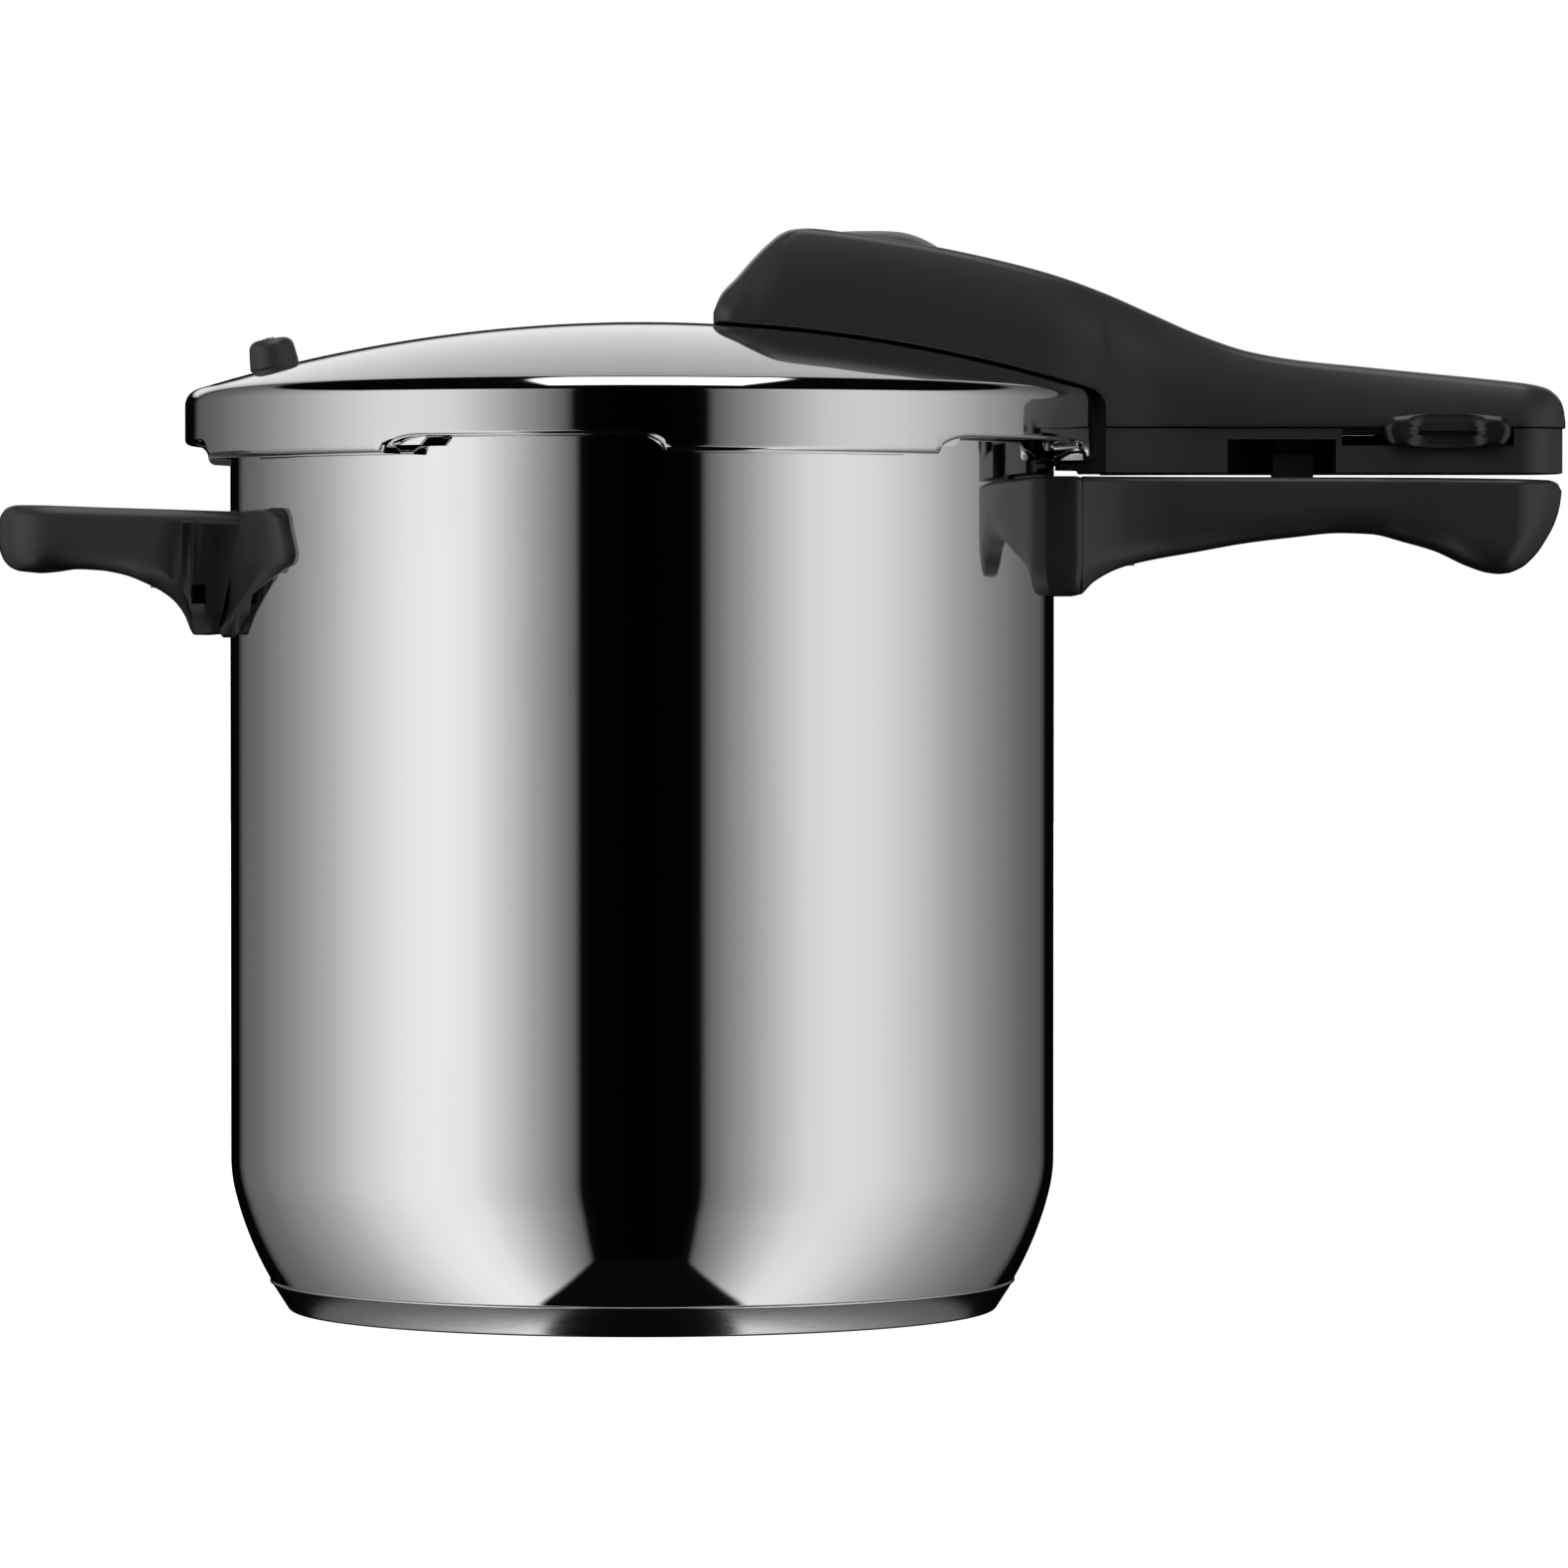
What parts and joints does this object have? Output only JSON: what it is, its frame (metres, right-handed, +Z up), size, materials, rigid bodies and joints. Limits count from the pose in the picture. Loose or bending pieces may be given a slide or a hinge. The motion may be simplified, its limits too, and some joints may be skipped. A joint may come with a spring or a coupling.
{
  "type": "stovetop_pressure_cooker",
  "caption": "Tall stainless steel stovetop pressure cooker with domed bayonet lid, long double handle, short helper handle, latch slider and valves",
  "frame": {"origin": "the pot's axis at the underside of its base", "axes": "+X along the long handles, +Z up, +Y completes a right-handed frame"},
  "size_m": [0.4227, 0.2462, 0.2911],
  "materials": {
    "polished_steel": "mirror-polished stainless steel",
    "brushed_steel": "turned and brushed stainless steel of the base",
    "core_aluminium": "plain rolled aluminium, sealed inside the base",
    "bracket_steel": "plain stamped steel",
    "screw_steel": "zinc-bright steel",
    "spring_steel": "drawn spring wire",
    "socket_brass": "turned brass",
    "black_plastic": "satin black heat-resistant moulding with a fine grain",
    "gloss_black": "smooth black moulding, a little glossier than the handles",
    "black_rubber": "black silicone rubber",
    "grey_silicone": "grey silicone",
    "indicator_plastic": "black indicator rod with two coloured rings"
  },
  "bodies": {
    "pot": {"pot_body": "polished_steel", "base_core": "core_aluminium", "base_cap": "brushed_steel", "pot_handle_bracket": "bracket_steel", "pot_handle_collar": "black_plastic", "pot_handle_grip": "black_plastic", "pot_handle_screw": "screw_steel", "helper_bracket": "bracket_steel", "helper_flange": "black_plastic", "helper_grip": "black_plastic", "helper_screw": "screw_steel"},
    "seal": {"sealing_ring": "grey_silicone"},
    "lid": {"lid_shell": "polished_steel", "lid_strap": "bracket_steel", "safety_valve": "black_rubber", "safety_valve_pin": "screw_steel", "indicator_seat": "socket_brass", "indicator_nut": "screw_steel", "indicator_membrane": "grey_silicone", "indicator_collar": "gloss_black", "steam_seat": "socket_brass", "steam_nut": "screw_steel", "steam_cap": "black_plastic", "handle_cover": "black_plastic", "handle_base": "black_plastic", "handle_floor": "black_plastic", "handle_screws": "screw_steel", "slider_spring": "spring_steel", "indicator_spring": "spring_steel", "steam_spring": "spring_steel"},
    "latch": {"slider_button": "gloss_black", "slider_rod": "bracket_steel", "lock_bolt": "gloss_black"},
    "indicator": {"indicator_pin": "indicator_plastic"},
    "steam_valve": {"steam_plunger": "screw_steel"}
  },
  "joints": [
    {"name": "lid_lift", "type": "slide", "parent": "pot", "child": "seal", "axis": [0, 0, 1], "range_m": [0, 0.12]},
    {"name": "lid_turn", "type": "hinge", "parent": "seal", "child": "lid", "pos_m": [0, 0, 0.236], "axis": [0, 0, 1], "range_deg": [0, 43]},
    {"name": "latch_slide", "type": "slide", "parent": "lid", "child": "latch", "axis": [-1, 0, 0], "range_m": [0, 0.0118], "stiffness_N_per_m": 250, "springref_m": -0.004},
    {"name": "indicator_rise", "type": "slide", "parent": "lid", "child": "indicator", "axis": [0, 0, 1], "range_m": [0, 0.009], "stiffness_N_per_m": 300, "springref_m": -0.001, "deforming": ["indicator_spring"]},
    {"name": "steam_lift", "type": "slide", "parent": "lid", "child": "steam_valve", "axis": [0, 0, 1], "range_m": [0, 0.002], "stiffness_N_per_m": 400, "springref_m": -0.001, "deforming": ["steam_spring"]}
  ]
}
